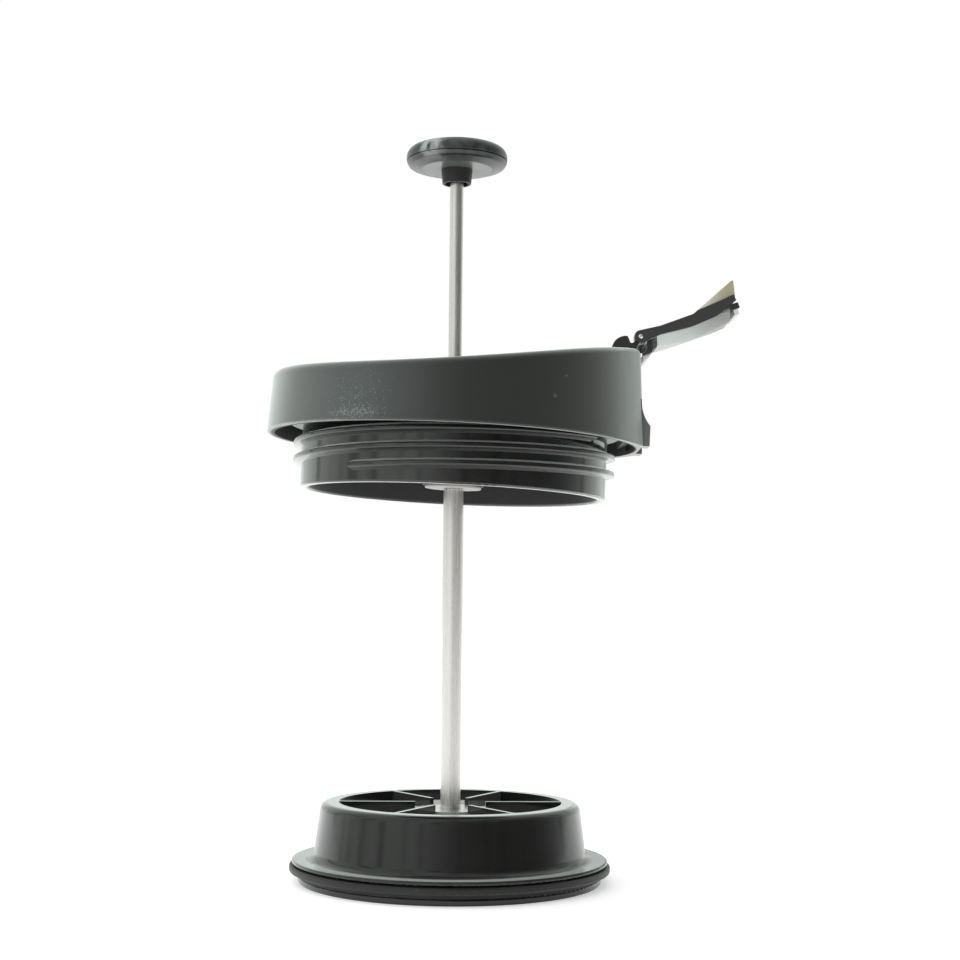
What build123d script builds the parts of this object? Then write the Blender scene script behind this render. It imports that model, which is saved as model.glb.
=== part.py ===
from build123d import *
import os
from math import cos, radians, sin, tan

# The lid and plunger of an insulated french press, standing on its filter, in millimetres.
# Z is up and the table is at zero. The rod stands on the Z axis, and the spout points along +X.

# Clearances
SEAT_GAP = 0.05          # between pieces that are clamped or pressed together
RUN_GAP = 0.06           # radial, between a shaft and the hole that it turns or slides in
FREE_GAP = 0.3           # between pieces that pass each other
CUT_PAST = 5.0           # how far a cutting shape runs past the face that it cuts

# Rod, sleeve and knob
ROD_R = 2.0
SLEEVE_R = 3.0
ROD_BOTTOM = 0.4
KNOB_TOP = 219.5
KNOB_R = 15.1
KNOB_THICK = 6.5
KNOB_CAP_THICK = 4.0     # from the knob's top to the seam between its two halves
KNOB_TOP_ROUND = 3.0
KNOB_SEAM = 0.12         # width of the seam
KNOB_FLAT_R = KNOB_R - 4.2   # flat part of the underside
KNOB_EDGE_R = KNOB_R - 0.8
KNOB_EDGE_RISE = 1.0
KNOB_SOCKET_R = KNOB_R - 3.1     # the cap's spigot in the base
KNOB_SOCKET_DEPTH = 1.0
COLLAR_R = 4.7
COLLAR_FOOT_R = COLLAR_R - 0.4
COLLAR_HEIGHT = 4.2
COLLAR_CUP_R = COLLAR_FOOT_R - 0.8
COLLAR_CUP_DEPTH = 1.5
COLLAR_FLOOR = 1.1       # between the cup and the insert
INSERT_R = COLLAR_R - 1.4
INSERT_END_WALL = 0.8    # brass above the rod's end
KNOB_UNDERSIDE = KNOB_TOP - KNOB_THICK
KNOB_PARTING = KNOB_TOP - KNOB_CAP_THICK
SOCKET_FLOOR = KNOB_PARTING - KNOB_SOCKET_DEPTH
COLLAR_BOTTOM = KNOB_UNDERSIDE - COLLAR_HEIGHT
INSERT_BOTTOM = COLLAR_BOTTOM + COLLAR_CUP_DEPTH + COLLAR_FLOOR

# Filter: a basket from below holds the mesh up against the frame's ribs
SPIGOT_R = 43.0
SPIGOT_WALL = 2.4
RETAINER_THICK = 2.0
RETAINER_R = SPIGOT_R + 2.2
GASKET_R = SPIGOT_R + 2.0
GASKET_LIP_R = SPIGOT_R + 4.9    # the widest part of the filter
GASKET_HEIGHT = 4.05
GASKET_LIP_RISE = 1.4    # from the retainer's ring to the lip
GASKET_LIP_THICK = 2.0
FLANGE_R = SPIGOT_R + 4.1
FLANGE_THICK = 0.95
FLANGE_FILLET = 2.5
BODY_FOOT_R = SPIGOT_R - 2.2
BODY_HEIGHT = 16.7
SHOULDER_R = BODY_FOOT_R - 2.2
SHOULDER_ROUND = 2.2
FRAME_WALL = 2.2
OPENING_R = SHOULDER_R - 5.3
SPOKES = 6
SPOKE_TURN = 3.3         # degrees
SPOKE_WIDTH = 1.3
RIB_HEIGHT = 3.2         # the frame's ribs over the mesh
RIB_START = 10.6         # the ribs' inner ends stand up round the hub at this radius
HUB_R = 12.0
HUB_THICK = 0.7
HUB_WASHER_R = RIB_START - 0.2
HUB_WASHER_THICK = 0.4
HUB_NUT_R = SLEEVE_R + 0.1
HUB_NUT_HEIGHT = 1.0
MESH_THICK = 0.4
BASKET_R = SHOULDER_R - FRAME_WALL - FREE_GAP
BASKET_WALL = 1.8
BASKET_SPOKE_WIDTH = 2.0
BASKET_SPOKE_HEIGHT = 2.6
BASKET_HEAD_THICK = 3.0
BASKET_BOSS_R = 6.0
NUT_SEAT_R = 4.8
NUT_SEAT_DEPTH = 3.6
NUT_FLAT_R = 4.0
NUT_THICK = 3.1
FLANGE_BOTTOM = RETAINER_THICK + GASKET_HEIGHT
FLANGE_TOP = FLANGE_BOTTOM + FLANGE_THICK
FRAME_TOP = FLANGE_TOP + BODY_HEIGHT
MESH_TOP = FRAME_TOP - RIB_HEIGHT
MESH_BOTTOM = MESH_TOP - MESH_THICK
HUB_TOP = MESH_TOP + HUB_THICK
HUB_WASHER_BOTTOM = HUB_TOP + SEAT_GAP
HUB_WASHER_TOP = HUB_WASHER_BOTTOM + HUB_WASHER_THICK
HUB_NUT_BOTTOM = HUB_WASHER_TOP + SEAT_GAP
HUB_NUT_TOP = HUB_NUT_BOTTOM + HUB_NUT_HEIGHT
NUT_TOP = ROD_BOTTOM + NUT_THICK

# Where the lid stands: it leans on its loose bush, so that its spout side is lower
LID_RIM_Z = 131.3        # height of the shell's bottom rim at the rod
LID_TILT = 2.0           # degrees about +Y
BUSH_BOTTOM = -13.85     # heights of lid pieces are above the shell's bottom rim, in the lid's own frame
BUSH_FLANGE_TOP = BUSH_BOTTOM + 0.9
BUSH_TOP = BUSH_BOTTOM + 11.85
PIVOT = (BUSH_BOTTOM + BUSH_TOP) / 2
PIVOT_Z = LID_RIM_Z + PIVOT

# Bush, its seal and its clip
BUSH_R = 5.0
BUSH_FLANGE_R = BUSH_R + 3.5
BUSH_FLANGE_ROUND = 0.4
SEAL_SECTION_R = 0.85
SEAL_SIDE_GAP = 0.35     # room for the seal when the bush rocks round it
CLIP_THICK = 0.9
CLIP_R = BUSH_R + 1.7
CLIP_GROOVE_R = BUSH_R - 0.6
CLIP_OPENING = 70.0      # degrees
WELL_R = CLIP_R + 0.8
WELL_FLOOR = BUSH_TOP - 2.5
BOSS_R = WELL_R + 1.7
DECK_BOSS_TOP = 14.2

# Shell
SHELL_R = 56.0
SHELL_DRAFT = 4.0        # degrees
SHELL_WALL = 2.2
SHELL_TOP_CUT = 40.0     # the cone is made this high and then cut
RIM_REACH = SHELL_R - 1.5
RIM_LEFT_Z = 18.0        # heights on the arc of the shell's sloped top, at its two ends and its middle
RIM_MIDDLE_Z = 17.75
RIM_RIGHT_Z = 29.7
RIM_WIDTH = 3.4
RIM_ROUND = 2.2
FOOT_ROUND = 0.5
DECK_DROP = 4.5
DECK_THICK = 2.4
CHEEK_ANGLE = 35.0       # degrees from +X, where the spout's cheeks leave the round skirt
CHEEK_X = SHELL_R - 0.8  # front of the cheeks at their foot
CHEEK_INSET = 0.12       # how far the cheeks' planes are inside the skirt where they leave it
CHEEK_ROUND = 7.0
NOSE_X = SHELL_R + 0.9
NOSE_FACE_X = SHELL_R - 2.0
NOSE_FLARE_TOP = 13.5
NOSE_FLARE_FOOT = 5.9
NOSE_HALF_WIDTH = 15.0
NOSE_BLEND_X = SHELL_R - 3.8     # where the nose's side meets the skirt
NOSE_BLEND_Y = NOSE_HALF_WIDTH + 3.4
NOSE_BLEND_MIDDLE_X = SHELL_R - 1.8
NOSE_BLEND_MIDDLE_Y = NOSE_HALF_WIDTH + 0.5
LATCH_X = SHELL_R - 1.0
LATCH_HALF_WIDTH = 8.2
LATCH_TOP = 5.0

# Plug
JUG_RIM_ROOM = 8.3       # between the skirt and the plug, for the jug's neck
PLUG_R = SHELL_R - SHELL_WALL - JUG_RIM_ROOM
PLUG_WALL = 2.4
PLUG_BOTTOM = -15.8
PLUG_ROUND = 0.6
PLUG_FLANGE_R = PLUG_R + 5.5
PLUG_FLANGE_TOP = 8.6
PLUG_FLANGE_THICK = 2.4
THREAD_R = PLUG_R + 2.5
THREAD_STARTS = 2
THREAD_LEAD = 9.8
THREAD_LOW = PLUG_BOTTOM + 4.6   # crest height at the foot of each start
THREAD_HEIGHT = 12.4
THREAD_FRONT_RISE = 1.0          # how far the first ridge has risen at the front of the plug
THREAD_ROOT_WIDTH = 3.2
THREAD_CREST_WIDTH = 1.3
THREAD_CREST_ROUND = 0.5
THREAD_SUNK = 0.4        # how deep the ridge's foot is in the wall
FRONT = 270.0            # degrees, the direction of the front round the axis
PLUG_SEAL_R = PLUG_R + 1.9
PLUG_SEAL_WIDTH = 1.2
PLUG_SEAL_DEPTH = 1.0
LID_GASKET_R = PLUG_R + 4.1
LID_GASKET_THICK = 3.0
RIB_R = PLUG_R + 3.1
RIB_WALL = 2.4
PLUG_FLANGE_BOTTOM = PLUG_FLANGE_TOP - PLUG_FLANGE_THICK

# Spout cover. Its outlines are in U, along the cover from the hinge, and V, up from it when it is open.
PIN_X = SHELL_R - 2.95
PIN_Z = 32.1
PIN_R = 0.8
PIN_END_ROUND = 0.6
COVER_OPEN = 21.7        # degrees above the lid's +X in the photo
COVER_CLOSED = -79.5
COVER_LENGTH = 29.8
COVER_HALF_WIDTH = 13.6
RAIL_WALL = 1.6
RAIL_BEND = 20.0         # radius of the rail's slow bends
RAIL_HALF = 1.1          # half of the rail's depth
EYE_R = RAIL_HALF + 0.75
PIN_HALF = COVER_HALF_WIDTH + 0.3
PLATE_START = 4.0
PLATE_UNDERSIDE = -0.4
PLATE_TOP = 1.0
LIFT_START = COVER_LENGTH / 2    # thumb lift
LIFT_END = COVER_LENGTH + 1.4
LIFT_HEIGHT = 7.2
LIFT_HALF_WIDTH = COVER_HALF_WIDTH - 1.5
HEEL_HALF_WIDTH = 8.0
PAD_START = 4.7
PAD_END = COVER_LENGTH - 2.4
PAD_HALF_WIDTH = COVER_HALF_WIDTH - RAIL_WALL - 0.1
PAD_EDGE = -1.2          # the pad's underside is an arc across the cover, from here to its crown
PAD_CROWN = -4.3         # and an arc along it, from its ends to its crown
PAD_END_DEPTH = -3.4
CATCH_START = PAD_END + 0.4
CATCH_END = CATCH_START + 1.0
CATCH_HALF_WIDTH = 7.0
HOOK_START = CATCH_END + 0.4
HOOK_END = HOOK_START + 1.4
HOOK_HALF_WIDTH = CATCH_HALF_WIDTH + 0.5
HOOK_BOTTOM = -2.5
TAB_END = HOOK_END + 0.7     # block over the hook, in the latch window when the cover is shut
TAB_BOTTOM = -0.8
CATCH_FACE = HOOK_BOTTOM - FREE_GAP
LUG_LENGTH = 8.2         # from the pin to the back of the fin
LUG_INNER = COVER_HALF_WIDTH - 4.4
LUG_OUTER = COVER_HALF_WIDTH - RAIL_WALL - FREE_GAP
POCKET_HALF_WIDTH = COVER_HALF_WIDTH + 0.6
POCKET_BACK = PAD_CROWN - 2.0
POCKET_END = COVER_LENGTH + 0.6
POCKET_WALL_END = COVER_LENGTH - 0.8     # the walls behind the pocket stop here, clear of the shell's foot
SPOUT_U = 17.0
SPOUT_R = 5.0
GROMMET_WALL = 1.2
GROMMET_FLANGE_R = SPOUT_R + 2.6
GROMMET_FLANGE_THICK = 1.5


# Helpers

def outline_face(outline):
    """A flat face in X and Z from points of (x, z, corner rounding)."""
    points = [(x, z) for x, z, corner in outline]
    rounds = [corner for x, z, corner in outline]
    return Plane.XZ * make_face(FilletPolyline(*points, radius=rounds, close=True))


def turned(outline):
    """A solid of revolution about Z from points of (radius, height, corner rounding)."""
    return revolve(outline_face(outline), Axis.Z)


def slab(outline, y_low, y_high):
    """An outline in X and Z made solid between two values of Y."""
    return Pos(0, y_high, 0) * extrude(outline_face(outline), amount=y_high - y_low)


def rod_between(radius, low, high):
    """An upright cylinder between two heights."""
    return Pos(0, 0, low) * Cylinder(radius, high - low, align=(Align.CENTER, Align.CENTER, Align.MIN))


def tube_between(outer, inner, low, high):
    """An upright tube between two heights."""
    return rod_between(outer, low, high) - rod_between(inner, low - CUT_PAST, high + CUT_PAST)


def in_lid(shape):
    """Move a shape from the lid's own frame to where the lid stands."""
    return Pos(0, 0, PIVOT_Z) * Rot(0, LID_TILT, 0) * Pos(0, 0, -PIVOT) * shape


def at_hinge(shape, angle):
    """Turn a shape from the cover's U and V to an angle above the lid's +X, at the hinge."""
    return Pos(PIN_X, 0, PIN_Z) * Rot(0, -angle, 0) * shape


# Heights that follow from the dimensions
HALF_BUSH = (BUSH_TOP - BUSH_BOTTOM) / 2
BUSH_BORE_R = ROD_R + HALF_BUSH * sin(radians(LID_TILT)) + RUN_GAP
SLEEVE_TOP = (PIVOT_Z - HALF_BUSH * cos(radians(LID_TILT))
              - SLEEVE_R * sin(radians(LID_TILT)) - SEAT_GAP)
SEAL_R = ROD_R + SEAT_GAP + SEAL_SECTION_R
SPIGOT_BOTTOM = RETAINER_THICK + SEAT_GAP
ROD_TOP = SOCKET_FLOOR - INSERT_END_WALL - SEAT_GAP


# Plunger

def spokes_between(start, end, width, low, high):
    """Six straight spokes between two radii and two heights."""
    low_corner = (Align.MIN, Align.CENTER, Align.MIN)
    spokes = []
    for index in range(SPOKES):
        spoke = Pos(start, 0, low) * Box(end - start, width, high - low, align=low_corner)
        spokes.append(Rot(0, 0, SPOKE_TURN + index * 360 / SPOKES) * spoke)
    return spokes


def make_filter_frame():
    """Cup with a wide opening, thin ribs and a flat hub on the mesh, and a flange over the gasket."""
    outer = turned([
        (0, SPIGOT_BOTTOM, 0),
        (SPIGOT_R, SPIGOT_BOTTOM, 0.3),
        (SPIGOT_R, FLANGE_BOTTOM, 0),
        (FLANGE_R, FLANGE_BOTTOM, 0.2),
        (FLANGE_R, FLANGE_TOP, 0.5),
        (BODY_FOOT_R, FLANGE_TOP, FLANGE_FILLET),
        (SHOULDER_R, FRAME_TOP, SHOULDER_ROUND),
        (0, FRAME_TOP, 0),
    ])
    hollow = turned([
        (0, SPIGOT_BOTTOM - CUT_PAST, 0),
        (SPIGOT_R - SPIGOT_WALL, SPIGOT_BOTTOM - CUT_PAST, 0),
        (SPIGOT_R - SPIGOT_WALL, FLANGE_BOTTOM, 0),
        (BODY_FOOT_R - FRAME_WALL, FLANGE_TOP, 0),
        (SHOULDER_R - FRAME_WALL, MESH_TOP, 0),
        (OPENING_R, MESH_TOP, 0),
        (OPENING_R, FRAME_TOP + CUT_PAST, 0),
        (0, FRAME_TOP + CUT_PAST, 0),
    ])
    frame = outer - hollow
    for rib in spokes_between(RIB_START, BODY_FOOT_R, SPOKE_WIDTH, MESH_TOP, FRAME_TOP):
        frame += rib & outer
    frame += rod_between(HUB_R, MESH_TOP, HUB_TOP)
    return frame - rod_between(ROD_R + SEAT_GAP, MESH_TOP - CUT_PAST, HUB_TOP + CUT_PAST)


def make_filter_gasket():
    """Soft ring with one thick lip between two grooves."""
    bore = SPIGOT_R + SEAT_GAP
    low = RETAINER_THICK + SEAT_GAP
    high = FLANGE_BOTTOM - SEAT_GAP
    lip_low = RETAINER_THICK + GASKET_LIP_RISE
    lip_high = lip_low + GASKET_LIP_THICK
    return turned([
        (bore, low, 0),
        (GASKET_R, low, 0.2),
        (GASKET_R, lip_low - 0.3, 0.2),
        (GASKET_LIP_R, lip_low, 0.6),
        (GASKET_LIP_R, lip_high, 0.6),
        (GASKET_R, lip_high + 0.2, 0.2),
        (GASKET_R, high, 0),
        (bore, high, 0),
    ])


def make_filter_mesh():
    """Fine mesh, as a thin disc between the basket and the frame."""
    return tube_between(BASKET_R, ROD_R + FREE_GAP, MESH_BOTTOM, MESH_TOP)


def make_filter_retainer():
    """Bottom ring with a basket that carries the mesh, and a boss with a seat for the nut."""
    bore = BASKET_R - BASKET_WALL
    retainer = turned([
        (bore, 0, 0.4),
        (RETAINER_R, 0, 0.6),
        (RETAINER_R, RETAINER_THICK, 0.5),
        (BASKET_R, RETAINER_THICK, 0),
        (BASKET_R, MESH_BOTTOM, 0),
        (bore, MESH_BOTTOM, 0),
    ])
    spoke_bottom = MESH_BOTTOM - BASKET_SPOKE_HEIGHT
    for spoke in spokes_between(0, bore + BASKET_WALL / 2, BASKET_SPOKE_WIDTH, spoke_bottom, MESH_BOTTOM):
        retainer += spoke
    retainer += rod_between(HUB_R, MESH_BOTTOM - BASKET_HEAD_THICK, MESH_BOTTOM)
    retainer += rod_between(BASKET_BOSS_R, 0, MESH_BOTTOM)
    retainer -= rod_between(NUT_SEAT_R, -CUT_PAST, NUT_SEAT_DEPTH)
    return retainer - rod_between(ROD_R + SEAT_GAP, -CUT_PAST, MESH_BOTTOM + CUT_PAST)


def make_retainer_nut():
    """Six-sided nut under the retainer's boss."""
    nut = Pos(0, 0, ROD_BOTTOM) * extrude(RegularPolygon(NUT_FLAT_R, 6, major_radius=False), amount=NUT_THICK)
    return nut - rod_between(ROD_R + SEAT_GAP, -CUT_PAST, NUT_TOP + CUT_PAST)


def make_hub_washer():
    """Wide washer on the frame's hub, inside the ribs' inner ends."""
    return tube_between(HUB_WASHER_R, ROD_R + SEAT_GAP, HUB_WASHER_BOTTOM, HUB_WASHER_TOP)


def make_hub_nut():
    """Round nut on the hub's washer, which the sleeve stands on."""
    return turned([
        (ROD_R + SEAT_GAP, HUB_NUT_BOTTOM, 0),
        (HUB_NUT_R, HUB_NUT_BOTTOM, 0),
        (HUB_NUT_R, HUB_NUT_TOP, 0.2),
        (ROD_R + SEAT_GAP, HUB_NUT_TOP, 0),
    ])


def make_plunger_rod():
    """Thin rod from the retainer's nut to the knob's insert."""
    return rod_between(ROD_R, ROD_BOTTOM, ROD_TOP)


def make_rod_sleeve():
    """Tube on the lower half of the rod, whose top end carries the lid's bush."""
    return tube_between(SLEEVE_R, ROD_R + SEAT_GAP, HUB_NUT_TOP + SEAT_GAP, SLEEVE_TOP)


def make_knob_base():
    """Lower half of the knob, flat underneath with a bevelled edge."""
    return turned([
        (INSERT_R + SEAT_GAP, KNOB_UNDERSIDE, 0),
        (KNOB_FLAT_R, KNOB_UNDERSIDE, 1.0),
        (KNOB_EDGE_R, KNOB_UNDERSIDE + KNOB_EDGE_RISE, 1.2),
        (KNOB_R, KNOB_PARTING - KNOB_SEAM / 2, 0.2),
        (KNOB_SOCKET_R + SEAT_GAP, KNOB_PARTING - KNOB_SEAM / 2, 0),
        (KNOB_SOCKET_R + SEAT_GAP, SOCKET_FLOOR, 0),
        (INSERT_R + SEAT_GAP, SOCKET_FLOOR, 0),
    ])


def make_knob_cap():
    """Upper half of the knob, with a spigot in the base's socket."""
    return turned([
        (0, SOCKET_FLOOR + SEAT_GAP, 0),
        (KNOB_SOCKET_R, SOCKET_FLOOR + SEAT_GAP, 0),
        (KNOB_SOCKET_R, KNOB_PARTING + KNOB_SEAM / 2, 0),
        (KNOB_R, KNOB_PARTING + KNOB_SEAM / 2, 0.2),
        (KNOB_R, KNOB_TOP, KNOB_TOP_ROUND),
        (0, KNOB_TOP, 0),
    ])


def make_knob_insert():
    """Brass insert in the knob, closed above the rod's end."""
    insert = rod_between(INSERT_R, INSERT_BOTTOM, SOCKET_FLOOR)
    return insert - rod_between(ROD_R + SEAT_GAP, INSERT_BOTTOM - CUT_PAST, ROD_TOP + SEAT_GAP)


def make_knob_collar():
    """Small tapered collar under the knob, with a cup at its foot."""
    bore = ROD_R + SEAT_GAP
    seat = INSERT_BOTTOM - SEAT_GAP
    high = KNOB_UNDERSIDE - SEAT_GAP
    return turned([
        (COLLAR_CUP_R, COLLAR_BOTTOM, 0),
        (COLLAR_FOOT_R, COLLAR_BOTTOM, 0.25),
        (COLLAR_R, high, 0),
        (INSERT_R + SEAT_GAP, high, 0),
        (INSERT_R + SEAT_GAP, seat, 0),
        (bore, seat, 0),
        (bore, COLLAR_BOTTOM + COLLAR_CUP_DEPTH, 0),
        (COLLAR_CUP_R, COLLAR_BOTTOM + COLLAR_CUP_DEPTH, 0),
    ])


# Guide in the lid

def make_rod_seal():
    """O-ring on the rod, inside the bush."""
    return Pos(0, 0, PIVOT_Z) * Torus(SEAL_R, SEAL_SECTION_R)


def make_rod_bush():
    """Flanged bush, loose on the rod, with a groove for the seal and one for the clip."""
    seal_room = SEAL_SECTION_R + SEAL_SIDE_GAP
    clip_bottom = WELL_FLOOR + RUN_GAP
    return turned([
        (BUSH_BORE_R, BUSH_BOTTOM, 0),
        (BUSH_FLANGE_R, BUSH_BOTTOM, BUSH_FLANGE_ROUND),
        (BUSH_FLANGE_R, BUSH_FLANGE_TOP, 0.3),
        (BUSH_R, BUSH_FLANGE_TOP, 0),
        (BUSH_R, clip_bottom - SEAT_GAP, 0),
        (CLIP_GROOVE_R, clip_bottom - SEAT_GAP, 0),
        (CLIP_GROOVE_R, clip_bottom + CLIP_THICK + SEAT_GAP, 0),
        (BUSH_R, clip_bottom + CLIP_THICK + SEAT_GAP, 0),
        (BUSH_R, BUSH_TOP, 0.3),
        (BUSH_BORE_R, BUSH_TOP, 0),
        (BUSH_BORE_R, PIVOT + seal_room, 0),
        (SEAL_R + seal_room - FREE_GAP / 2, PIVOT + seal_room, 0),
        (SEAL_R + seal_room - FREE_GAP / 2, PIVOT - seal_room, 0),
        (BUSH_BORE_R, PIVOT - seal_room, 0),
    ])


def make_bush_clip():
    """Open spring ring in the bush's groove, on the floor of the lid's well."""
    low = WELL_FLOOR + RUN_GAP
    ring = tube_between(CLIP_R, CLIP_GROOVE_R + SEAT_GAP, low, low + CLIP_THICK)
    half_angle = radians(CLIP_OPENING / 2)
    reach = CLIP_R + CUT_PAST
    mouth = make_face(Polyline((0, 0), (reach * cos(half_angle), reach * sin(half_angle)),
                               (reach * cos(half_angle), -reach * sin(half_angle)), close=True))
    mouth = Rot(0, 0, 180) * Pos(0, 0, low - CUT_PAST) * extrude(mouth, amount=CLIP_THICK + 2 * CUT_PAST)
    return ring - mouth


# Lid shell

def rim_height(x):
    """Height of the curve through the rim's left, middle and right heights."""
    share = x / RIM_REACH
    slope = (RIM_RIGHT_Z - RIM_LEFT_Z) / 2
    bend = (RIM_RIGHT_Z + RIM_LEFT_Z) / 2 - RIM_MIDDLE_Z
    return RIM_MIDDLE_Z + slope * share + bend * share * share


def below_rim(drop):
    """Everything in the lid that is under the sloped top, lowered by a drop."""
    reach = SHELL_R + 2 * CUT_PAST
    floor = PLUG_BOTTOM - CUT_PAST
    left = (-reach, rim_height(-reach) - drop)
    right = (reach, rim_height(reach) - drop)
    lines = [
        ThreePointArc(left, (0, rim_height(0) - drop), right),
        Line(right, (reach, floor)),
        Line((reach, floor), (-reach, floor)),
        Line((-reach, floor), left),
    ]
    face = Plane.XZ * make_face(lines)
    return Pos(0, reach, 0) * extrude(face, amount=2 * reach)


def shell_cone(inset):
    """The drafted round body, inset from the outside by a wall."""
    top_r = SHELL_R - SHELL_TOP_CUT * tan(radians(SHELL_DRAFT)) - inset
    low_corner = (Align.CENTER, Align.CENTER, Align.MIN)
    return Cone(SHELL_R - inset, top_r, SHELL_TOP_CUT, align=low_corner)


def make_cheeks():
    """Drafted block on the spout side, whose bowed sides leave the round skirt almost without a crease."""
    turn = radians(CHEEK_ANGLE)
    side = SHELL_R - CHEEK_INSET
    back = NOSE_FACE_X - 3 * CUT_PAST
    foot_x = side * cos(turn)
    foot_y = side * sin(turn)
    corner_y = POCKET_HALF_WIDTH + FREE_GAP
    plan = [
        Line((back, foot_y), (back, -foot_y)),
        Line((back, -foot_y), (foot_x, -foot_y)),
        TangentArc((foot_x, -foot_y), (CHEEK_X, -corner_y), tangent=(sin(turn), cos(turn))),
        Line((CHEEK_X, -corner_y), (CHEEK_X, corner_y)),
        TangentArc((foot_x, foot_y), (CHEEK_X, corner_y), tangent=(sin(turn), -cos(turn))),
        Line((foot_x, foot_y), (back, foot_y)),
    ]
    cheeks = extrude(make_face(plan), amount=SHELL_TOP_CUT, taper=SHELL_DRAFT)
    upright = [edge for edge in cheeks.edges() if abs(edge.tangent_at(0.5).Z) > 0.9]
    cheeks = fillet([edge for edge in upright if edge.center().X > foot_x], CHEEK_ROUND)
    cheeks = cheeks & below_rim(0)
    rim = cheeks.faces().sort_by(Axis.Z)[-1].edges()
    return fillet([edge for edge in rim if edge.center().X > foot_x - CUT_PAST / 2], RIM_ROUND)


def make_flare():
    """Block at the foot of the nose: a flared side view and a plan with hollow sides, both at once."""
    drop = NOSE_FLARE_TOP - NOSE_FLARE_FOOT
    step = NOSE_X - NOSE_FACE_X
    flare_r = (step * step + drop * drop) / (2 * step)
    half_way = radians(200)
    flare_middle = (NOSE_FACE_X + flare_r + flare_r * cos(half_way), NOSE_FLARE_TOP + flare_r * sin(half_way))
    back = NOSE_FACE_X - 3 * CUT_PAST
    side_lines = [
        Line((back, 0), (NOSE_X, 0)),
        Line((NOSE_X, 0), (NOSE_X, NOSE_FLARE_FOOT)),
        ThreePointArc((NOSE_X, NOSE_FLARE_FOOT), flare_middle, (NOSE_FACE_X, NOSE_FLARE_TOP)),
        Line((NOSE_FACE_X, NOSE_FLARE_TOP), (back, NOSE_FLARE_TOP)),
        Line((back, NOSE_FLARE_TOP), (back, 0)),
    ]
    side_view = Pos(0, SHELL_R, 0) * extrude(Plane.XZ * make_face(side_lines), amount=2 * SHELL_R)
    blend = (NOSE_BLEND_X, NOSE_BLEND_Y)
    blend_middle = (NOSE_BLEND_MIDDLE_X, NOSE_BLEND_MIDDLE_Y)
    half_plan = [
        Line((back, 0), (back, NOSE_BLEND_Y)),
        Line((back, NOSE_BLEND_Y), blend),
        ThreePointArc(blend, blend_middle, (NOSE_X, NOSE_HALF_WIDTH)),
        Line((NOSE_X, NOSE_HALF_WIDTH), (NOSE_X, 0)),
        Line((NOSE_X, 0), (back, 0)),
    ]
    half = extrude(make_face(half_plan), amount=NOSE_FLARE_TOP)
    return side_view & (half + mirror(half, Plane.XZ))


def closed_box(u_end, v_back, half_width):
    """Box round the closed cover, open upwards and outwards, in the lid's frame."""
    far = SHELL_TOP_CUT
    box = slab([(-far, v_back, 0), (u_end, v_back, 0), (u_end, far, 0), (-far, far, 0)],
               -half_width, half_width)
    return at_hinge(box, COVER_CLOSED)


def pocket_room():
    """Room that the pocket's walls take out of the pieces under the shell."""
    return closed_box(POCKET_END + 3 * SHELL_WALL, POCKET_BACK - SHELL_WALL - FREE_GAP, SHELL_R)


def make_lugs():
    """Two fins on the deck with eyes for the hinge pin."""
    back = PIN_X - LUG_LENGTH
    foot = rim_height(back) - DECK_DROP - DECK_THICK / 2
    fin = [
        (back, foot, 0),
        (back, PIN_Z + 0.3, LUG_LENGTH / 2),
        (PIN_X - 3.7, PIN_Z + 0.3, 0.5),
        (PIN_X - 2.6, PIN_Z - 2.0, 0.5),
        (PIN_X - 0.8, PIN_Z - 0.6, 0),
        (PIN_X - 0.3, PIN_Z - EYE_R + 0.1, 0),
        (PIN_X - 1.75, PIN_Z - 5.1, 1.0),
        (PIN_X - 3.15, foot, 0),
    ]
    lugs = []
    for low in (LUG_INNER, -LUG_OUTER):
        high = low + LUG_OUTER - LUG_INNER
        eye = Pos(PIN_X, high, PIN_Z) * extrude(Plane.XZ * Circle(EYE_R), amount=high - low)
        lugs.append(slab(fin, low, high) + eye)
    return lugs


def shell_outside():
    """Everything inside the lid's outer surface: the round skirt, the spout's cheeks and the flare."""
    skirt = shell_cone(0) & below_rim(0)
    skirt = fillet(skirt.edges().sort_by(Axis.Z)[-1], RIM_ROUND)
    skirt = fillet(skirt.edges().sort_by(Axis.Z)[0], FOOT_ROUND)
    return skirt + make_cheeks() + make_flare()


def housing_block():
    """Block on the spout side, from the back of the pocket's wall outwards."""
    return closed_box(POCKET_WALL_END, POCKET_BACK - SHELL_WALL, POCKET_HALF_WIDTH + SHELL_WALL)


def pocket_space():
    """Space for the closed cover."""
    return closed_box(POCKET_END, POCKET_BACK, POCKET_HALF_WIDTH)


def make_lid_shell():
    """Skirt with the sloped rim, open where the spout's housing and the deck are, with the latch window."""
    ring = shell_outside() - (shell_cone(SHELL_WALL) & below_rim(DECK_DROP + DECK_THICK))
    ring = ring - shell_cone(RIM_WIDTH) - housing_block() - pocket_space()
    latch_window = [
        (LATCH_X, -CUT_PAST, 0),
        (NOSE_X + CUT_PAST, -CUT_PAST, 0),
        (NOSE_X + CUT_PAST, LATCH_TOP, 0),
        (LATCH_X, LATCH_TOP, 0),
    ]
    return ring - slab(latch_window, -LATCH_HALF_WIDTH, LATCH_HALF_WIDTH)


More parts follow.
